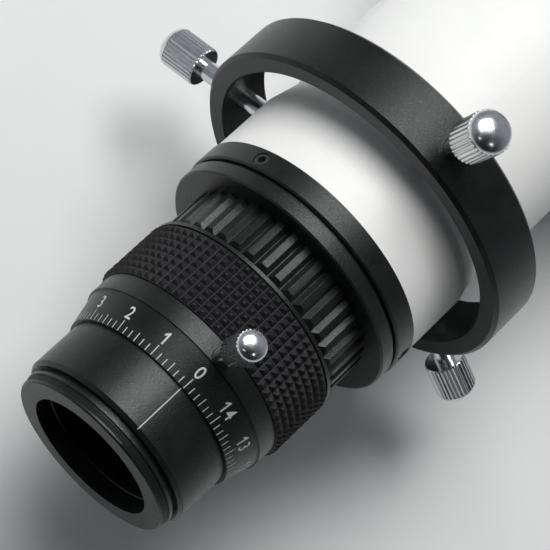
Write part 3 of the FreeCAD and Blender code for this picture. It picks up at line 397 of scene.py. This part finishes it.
def one_shape(height):
    """A plain figure one with its flag."""
    half = 0.21
    flag = 0.62
    shift = 0.2
    points = [(-half, 0.0), (half, 0.0), (half, height), (-half * 0.4, height),
              (-flag - half, height - 0.62), (-flag - half, height - 1.12), (-half, height - 0.66)]
    return [Vector((x + shift, y, 0.0)) for x, y in points], [(0, 1, 2, 3, 6), (3, 4, 5, 6)]


def number_shape(text, size):
    """The figures of a number side by side."""
    height = DIGIT_CAP * size
    corners, faces = [], []
    for place, figure in enumerate(text):
        shift = DIGIT_SPACING * (place - (len(text) - 1) / 2)
        if figure == "1":
            part, part_faces = one_shape(height)
        else:
            part, part_faces = digit_mesh(figure, size)
            bottom = min(c.y for c in part)
            tall = max(c.y for c in part) - bottom
            part = [Vector((c.x, (c.y - bottom) * height / tall, 0.0)) for c in part]
        base = len(corners)
        corners += [Vector((c.x + shift, c.y, 0.0)) for c in part]
        faces += [tuple(i + base for i in face) for face in part_faces]
    return corners, faces


def scale_numbers():
    for number in range(DIGIT_COUNT):
        turn = -number * DIGIT_STEP
        corners, faces = number_shape(str(number), DIGIT_SIZE)
        high = max(c.y for c in corners)
        points = []
        for c in corners:
            along = DIGIT_STRETCH * (c.y - high) / math.hypot(1.0, CONE_SLOPE)
            points.append(on_cone(DIGIT_END + along, turn + math.degrees(c.x / DIGIT_RADIUS)))
        mesh_piece(f"scale_number_{number}", points, faces, ink, "focus_ring")


# The index line runs along the sleeve and down its chamfer
SLEEVE_R = 22.65
SLEEVE_START = 4.2
CHAMFER_LEN, CHAMFER_DROP = 0.92, 0.75
LINE_TURN = -0.44
LINE_HALF_WIDTH = 0.11
LINE_STATIONS = (4.7, 5.12, 8.0, 11.0, 14.0, 17.6)


def index_line():
    radius = SLEEVE_R + PAINT_LIFT
    half = math.degrees(LINE_HALF_WIDTH / radius)
    points, faces = [], []
    for station in LINE_STATIONS:
        drop = CHAMFER_DROP * max(0.0, 1.0 - (station - SLEEVE_START) / CHAMFER_LEN)
        points += [on_axis(station, radius - drop, LINE_TURN - half),
                   on_axis(station, radius - drop, LINE_TURN + half)]
    for i in range(len(LINE_STATIONS) - 1):
        faces.append((2 * i, 2 * i + 1, 2 * i + 3, 2 * i + 2))
    mesh_piece("index_line", points, faces, ink, "drawtube")


def camera_thread():
    """The fine thread on the end ring: a low helical ridge from the chamfer to the smooth band."""
    pitch, low, high, first, last = 0.42, 21.005, 21.13, 0.38, 2.18
    steps = 96
    turns = (last - first) / pitch - 1.0
    points, faces = [], []
    for i in range(int(turns * steps) + 1):
        turn = 360.0 * i / steps
        station = first + pitch / 2 + pitch * i / steps
        points += [on_axis(station - pitch / 2, low, turn), on_axis(station, high, turn),
                   on_axis(station + pitch / 2, low, turn)]
        if i:
            base = 3 * (i - 1)
            faces += [(base, base + 1, base + 4, base + 3), (base + 1, base + 2, base + 5, base + 4)]
    thread = mesh_piece("camera_thread", points, faces, thread_black, "drawtube")
    for face in thread.data.polygons:
        face.use_smooth = False


def domed_cap(name, body, foot, away, radius, height):
    """A polished cap over a screw's head, as wide as the head, with its top where the head's top is."""
    points = nodes[name].data.vertices
    top = max((point.co - foot).dot(away) for point in points)
    side = away.orthogonal().normalized()
    other = away.cross(side)
    rim = foot + away * (top - height * MM)
    rings, segments = 10, 56
    corners, faces = [], []
    for ring in range(rings):
        angle = math.pi / 2 * ring / rings
        reach = radius * MM * math.cos(angle)
        rise = height * MM * math.sin(angle)
        for segment in range(segments):
            turn = 2 * math.pi * segment / segments
            across = side * (reach * math.cos(turn)) + other * (reach * math.sin(turn))
            corners.append(rim + away * rise + across)
    corners.append(rim + away * (height * MM))
    for ring in range(rings - 1):
        for segment in range(segments):
            after = (segment + 1) % segments
            low, high = ring * segments, (ring + 1) * segments
            faces.append((low + segment, low + after, high + after, high + segment))
    last = (rings - 1) * segments
    for segment in range(segments):
        faces.append((last + segment, last + (segment + 1) % segments, len(corners) - 1))
    cap = mesh_piece(f"{name}_cap", corners, faces, bright, body)
    for face in cap.data.polygons:
        face.use_smooth = True


RING_RADIUS = 43.5
RING_CAP = (4.86, 2.6)
LOCK_CAP = (3.34, 1.6)


def screw_caps():
    for ring in RINGS:
        low, high = number_box(f"{ring}_ring")
        centre = Vector(((low.x + high.x) / 2, (low.y + high.y) / 2, high.z - RING_RADIUS * MM))
        for place, turn in SCREW_TURNS:
            away = Vector((math.sin(math.radians(turn)), 0.0, math.cos(math.radians(turn))))
            domed_cap(f"{ring}_ring_screw_{place}", f"{ring}_screw_{place}", centre, away, *RING_CAP)
    low, high = number_box("lock_screw")
    foot = Vector(((low.x + high.x) / 2, (low.y + high.y) / 2, AXIS_Z))
    domed_cap("lock_screw", "lock_screw", foot, Vector((0.0, 0.0, 1.0)), *LOCK_CAP)


scale_ticks()
scale_numbers()
index_line()
camera_thread()
screw_caps()


# Floor and lights
def backdrop():
    mesh = bpy.data.meshes.new("floor")
    size = 4.0
    z = cad_box[0][2]
    mesh.from_pydata([(-size, -size, z), (size, -size, z), (size, size, z), (-size, size, z)], [], [(0, 1, 2, 3)])
    floor = bpy.data.objects.new("floor", mesh)
    bpy.context.scene.collection.objects.link(floor)
    t = Tree("pale_floor")
    broad = t.noise(6.0, 2.0, 0.5)
    stops = [(0.2, (0.74, 0.74, 0.735, 1)), (0.8, (0.76, 0.76, 0.755, 1))]
    t.link(t.ramp(broad, stops), t.shader.inputs["Base Color"])
    t.set(Roughness=0.8)
    mesh.materials.append(t.material)


def area(name, direction, distance, width, height, power):
    """A flat light that faces the focuser."""
    target = Vector((AXIS_X, END_Y + 0.06, AXIS_Z))
    towards = Vector(direction).normalized()
    light = bpy.data.lights.new(name, "AREA")
    light.shape = "RECTANGLE"
    light.size = width
    light.size_y = height
    light.energy = power
    lamp = bpy.data.objects.new(name, light)
    lamp.location = target + towards * distance
    lamp.rotation_euler = (-towards).to_track_quat("-Z", "Y").to_euler()
    bpy.context.scene.collection.objects.link(lamp)
    return lamp


backdrop()
area("softbox", (-0.36, 0.27, 0.93), 1.0, 0.7, 0.42, 10.5)
area("window", (0.55, -0.15, 0.8), 1.4, 0.1, 0.14, 0.35)
area("door", (-0.1, -0.55, 0.8), 1.5, 0.08, 0.16, 0.25)

# A room that is dim on the side of the viewer and brighter behind the objective
world = bpy.data.worlds.new("room")
world.use_nodes = True
room = world.node_tree
look = room.nodes.new("ShaderNodeTexCoord")
side = room.nodes.new("ShaderNodeVectorMath")
side.operation = "DOT_PRODUCT"
room.links.new(look.outputs["Generated"], side.inputs[0])
side.inputs[1].default_value = (0.5, -0.62, 0.6)
fade = room.nodes.new("ShaderNodeMapRange")
fade.inputs["From Min"].default_value = 0.15
fade.inputs["From Max"].default_value = 0.8
fade.inputs["To Min"].default_value = 0.3
fade.inputs["To Max"].default_value = 0.02
room.links.new(side.outputs["Value"], fade.inputs["Value"])
room.nodes["Background"].inputs["Color"].default_value = (0.86, 0.92, 1.0, 1)
room.links.new(fade.outputs["Result"], room.nodes["Background"].inputs["Strength"])
bpy.context.scene.world = world

# Camera at the photograph's viewing angle
camera_data = bpy.data.cameras.new("camera")
camera_data.sensor_width = 36.0
camera_data.lens = 156.7
camera_data.clip_start = 0.01
camera_data.clip_end = 20.0
camera = bpy.data.objects.new("camera", camera_data)
with_scope = Matrix.Rotation(math.radians(SCOPE_TURN), 3, "Y")
right = with_scope @ Vector((0.6442, 0.672, 0.3655))
ahead = (with_scope @ Vector((0.1089, 0.3923, -0.9134))).normalized()
right = (right - ahead * right.dot(ahead)).normalized()
up = right.cross(ahead)
spot = Vector((AXIS_X, END_Y, AXIS_Z)) + with_scope @ Vector((-0.05945, -0.14918, 0.48719))
camera.matrix_world = Matrix((
    (right.x, up.x, -ahead.x, spot.x),
    (right.y, up.y, -ahead.y, spot.y),
    (right.z, up.z, -ahead.z, spot.z),
    (0, 0, 0, 1),
))
bpy.context.scene.collection.objects.link(camera)
bpy.context.scene.camera = camera
bpy.context.scene.view_settings.view_transform = "Standard"
